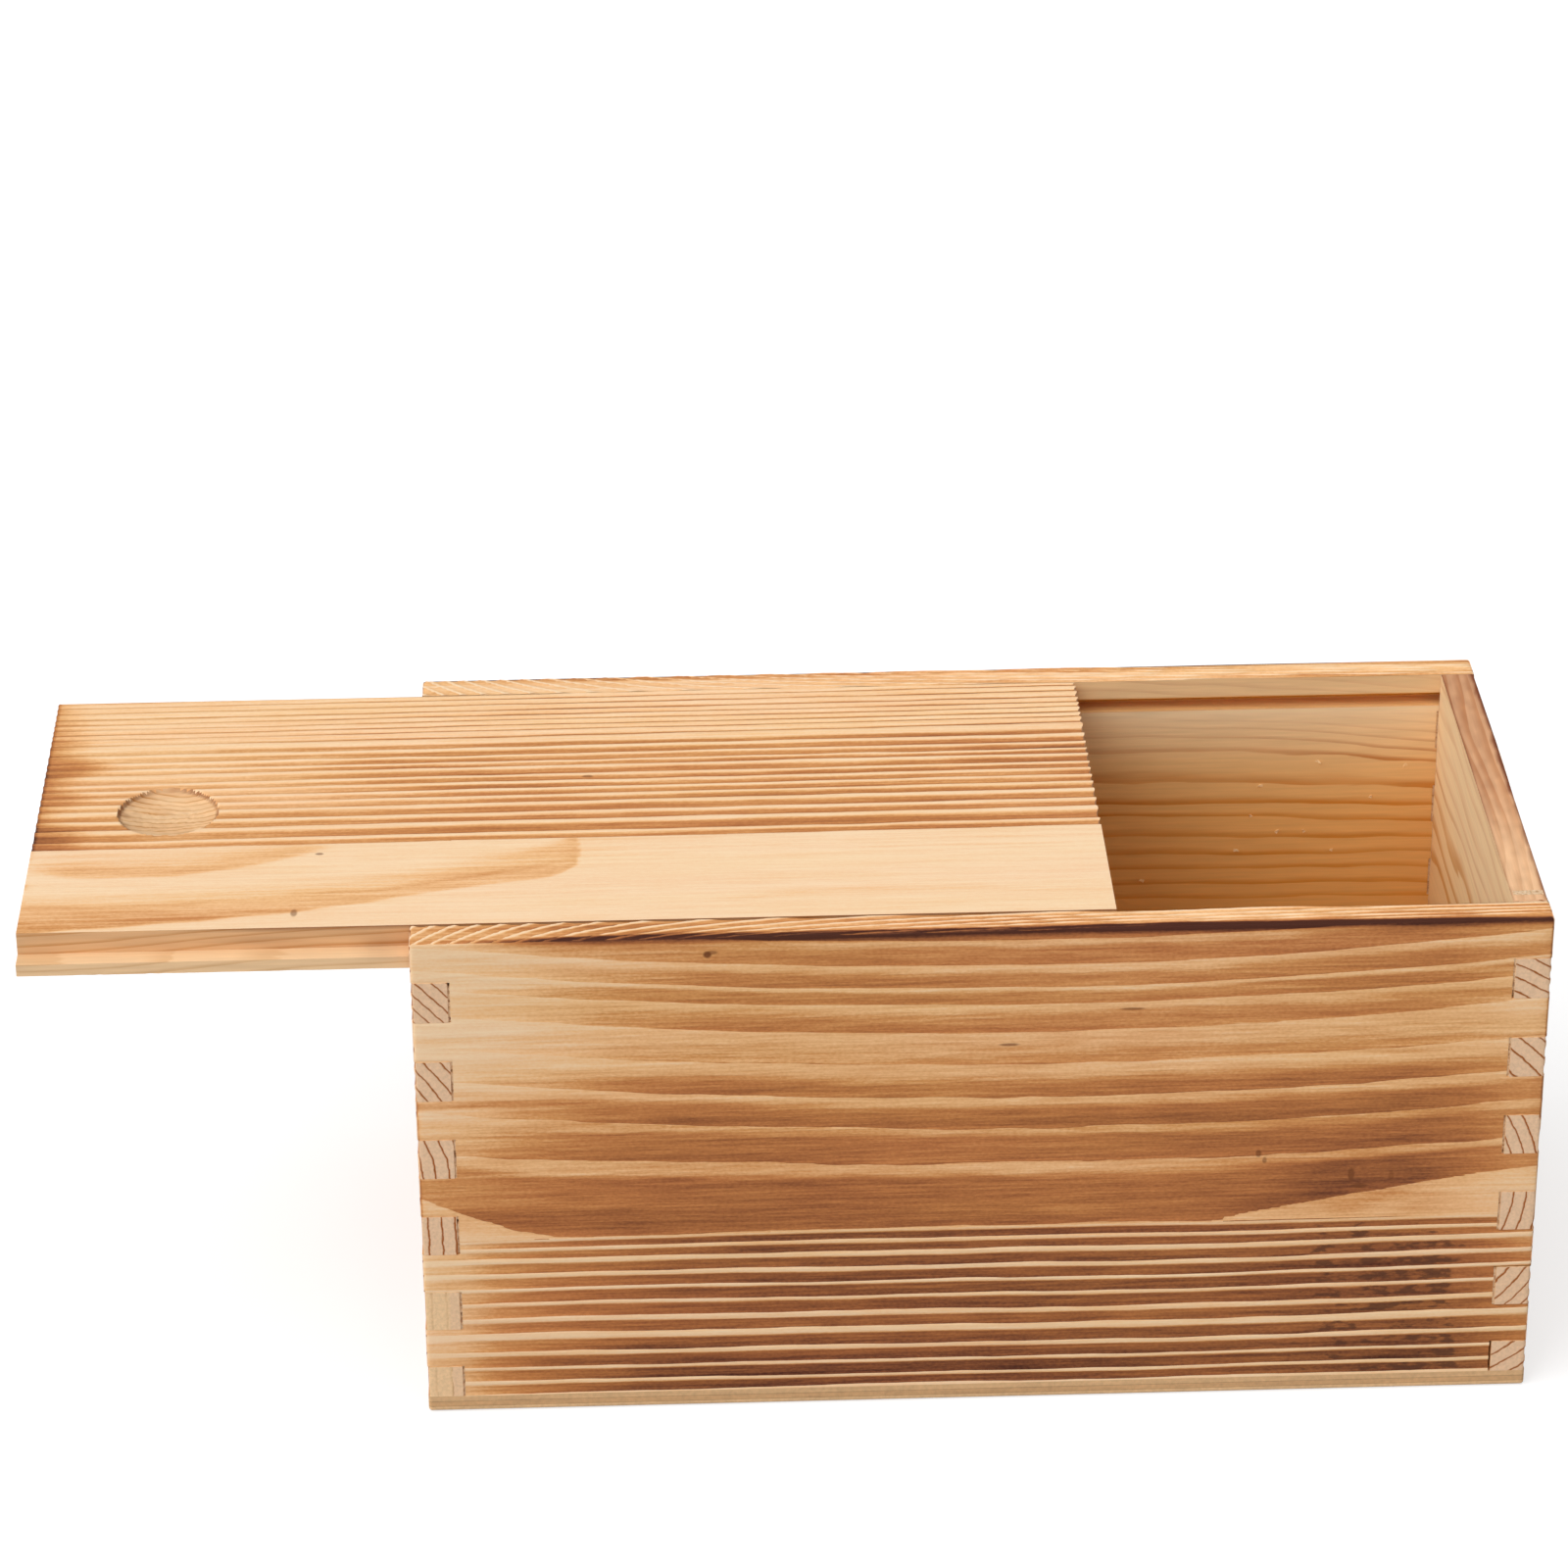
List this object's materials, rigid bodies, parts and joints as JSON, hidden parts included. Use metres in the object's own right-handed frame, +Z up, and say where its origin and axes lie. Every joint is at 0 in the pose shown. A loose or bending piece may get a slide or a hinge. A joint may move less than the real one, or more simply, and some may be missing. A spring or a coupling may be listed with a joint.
{
  "type": "sliding lid wooden box",
  "caption": "Finger-jointed softwood box whose grooved sides carry a flush sliding lid with a thumb scoop.",
  "frame": {"origin": "middle of the bottom panel's underside, on the surface that the box stands on", "axes": "+X along the box's length, away from the end where the lid slides out; +Y to the back; +Z up"},
  "size_m": [0.3357, 0.128, 0.122],
  "materials": {
    "side_wood": "lightly charred, wire-brushed softwood",
    "end_wood": "lightly charred, wire-brushed softwood",
    "plywood": "sanded plywood",
    "brad_steel": "bright wire",
    "lid_wood": "lightly charred, wire-brushed softwood"
  },
  "bodies": {
    "box": {"front_board": "side_wood", "back_board": "side_wood", "left_end_board": "end_wood", "right_end_board": "end_wood", "bottom_panel": "plywood", "bottom_brads": "brad_steel"},
    "lid": {"sliding_lid": "lid_wood"}
  },
  "joints": [
    {"name": "lid_slide", "type": "slide", "parent": "box", "child": "lid", "axis": [-1, 0, 0], "range_m": [-0.087, 0.145]}
  ]
}
